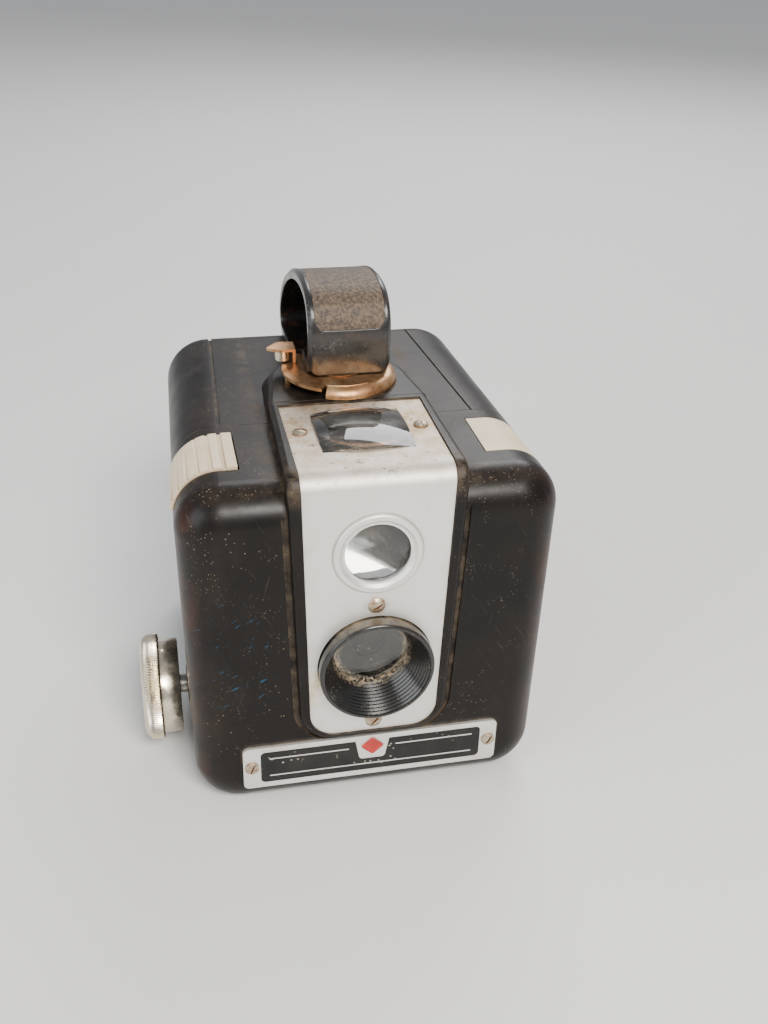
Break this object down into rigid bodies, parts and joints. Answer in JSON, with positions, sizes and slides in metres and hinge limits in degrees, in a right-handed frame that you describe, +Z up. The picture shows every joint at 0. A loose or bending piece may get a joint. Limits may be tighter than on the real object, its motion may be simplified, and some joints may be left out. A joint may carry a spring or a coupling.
{
  "type": "box camera",
  "caption": "Moulded box camera for roll film: ribbed lens hood, reflecting viewfinder, side winding knob, ribbed shutter release, top latch, strap handle and hinged back.",
  "frame": {"origin": "middle of the flat base, which the camera stands on", "axes": "+Z up, -Y the way the lens looks, +X to the right of a viewer who faces the lens; the winding knob stands out on -X"},
  "size_m": [0.1006, 0.1089, 0.1191],
  "materials": {
    "black_moulding": "moulded phenolic resin, satin gloss with scuffs",
    "hood_black": "gloss moulding",
    "handle_black": "gloss moulding",
    "grip_grain": "fine grained olive-brown",
    "satin_plate": "satin, tarnished in places",
    "dark_inlay": "stoved enamel",
    "red_enamel": "enamel",
    "nickel_screw": "nickel plated, rust in the slots",
    "nickel_knob": "polished nickel",
    "clear_glass": "clear",
    "silvered_mirror": "silvered",
    "ivory_plastic": "aged ivory moulding",
    "spring_steel": "plain",
    "blackened_steel": "matt black",
    "latch_brass": "worn plating over brass",
    "red_film": "red film"
  },
  "bodies": {
    "front_half": {"front_casing": "black_moulding", "casing_posts": "black_moulding", "faceplate": "satin_plate", "faceplate_screws": "nickel_screw", "nameplate": "satin_plate", "nameplate_inlay": "dark_inlay", "nameplate_ornament": "red_enamel", "nameplate_screws": "nickel_screw", "lens_hood": "hood_black", "front_glass": "clear_glass", "glass_ring": "spring_steel", "shutter_plate": "blackened_steel", "shutter_posts": "spring_steel", "shutter_pin": "spring_steel", "lens_holder": "blackened_steel", "meniscus_lens": "clear_glass", "viewfinder_housing": "blackened_steel", "viewfinder_mirror": "silvered_mirror", "viewfinder_window": "clear_glass", "viewfinder_top_lens": "clear_glass", "release_pin": "spring_steel", "release_spring": "spring_steel", "spring_anchor": "spring_steel", "film_carrier": "blackened_steel", "carrier_screws": "nickel_screw", "supply_clips": "spring_steel", "take_up_clip": "spring_steel", "knob_bush": "latch_brass", "brake_spring": "spring_steel", "latch_catch": "spring_steel", "hinge_front_leaf": "spring_steel", "hinge_pin": "spring_steel"},
    "rear_half": {"rear_cover": "black_moulding", "red_window": "red_film", "red_window_ring": "latch_brass", "hinge_rear_leaf": "spring_steel", "latch_post": "latch_brass", "handle": "handle_black", "handle_grip": "grip_grain", "handle_rivets": "latch_brass"},
    "latch": {"latch_plate": "latch_brass", "latch_stud": "nickel_knob"},
    "shutter_release": {"release_button": "ivory_plastic", "release_arm": "spring_steel"},
    "shutter": {"shutter_disc": "blackened_steel"},
    "long_exposure_slide": {"long_exposure_lever": "ivory_plastic", "long_exposure_arm": "spring_steel"},
    "shaft_slide": {"shaft_collar": "spring_steel"},
    "knob": {"winding_knob": "nickel_knob", "winding_shaft": "spring_steel"},
    "spool": {"take_up_spool": "blackened_steel"},
    "upper_roller": {"upper_film_roller": "spring_steel"},
    "lower_roller": {"lower_film_roller": "spring_steel"}
  },
  "joints": [
    {"name": "back_hinge", "type": "hinge", "parent": "front_half", "child": "rear_half", "pos_m": [0, -0.0137, 0.0012], "axis": [-1, 0, 0], "range_deg": [0, 88]},
    {"name": "latch_turn", "type": "hinge", "parent": "rear_half", "child": "latch", "pos_m": [0, -0.0009, 0.0957], "axis": [0, 0, -1], "range_deg": [0, 95]},
    {"name": "release_press", "type": "hinge", "parent": "front_half", "child": "shutter_release", "pos_m": [-0.0175, -0.0274, 0.08], "axis": [0, -1, 0], "range_deg": [0, 6], "stiffness_Nm_per_rad": 0.12, "springref_deg": -5.73},
    {"name": "shutter_turn", "type": "hinge", "parent": "front_half", "child": "shutter", "pos_m": [-0.0105, -0.0419, 0.0428], "axis": [0, -1, 0], "range_deg": [0, 60]},
    {"name": "long_exposure_lift", "type": "slide", "parent": "front_half", "child": "long_exposure_slide", "axis": [0, 0, 1], "range_m": [0, 0.004]},
    {"name": "knob_pull", "type": "slide", "parent": "front_half", "child": "shaft_slide", "axis": [-1, 0, 0], "range_m": [0, 0.0042]},
    {"name": "knob_turn", "type": "hinge", "parent": "shaft_slide", "child": "knob", "pos_m": [-0.045, -0.0195, 0.017], "axis": [-1, 0, 0], "continuous": true},
    {"name": "spool_turn", "type": "hinge", "parent": "front_half", "child": "spool", "pos_m": [0, -0.0195, 0.017], "axis": [-1, 0, 0], "continuous": true},
    {"name": "upper_roller_turn", "type": "hinge", "parent": "front_half", "child": "upper_roller", "pos_m": [0, 0.027, 0.0734], "axis": [-1, 0, 0], "continuous": true},
    {"name": "lower_roller_turn", "type": "hinge", "parent": "front_half", "child": "lower_roller", "pos_m": [0, 0.027, 0.0122], "axis": [-1, 0, 0], "continuous": true}
  ],
  "couplings": [
    {"joint": "shutter_turn", "follows": "release_press", "ratio": 10},
    {"joint": "spool_turn", "follows": "knob_turn", "ratio": 1}
  ]
}
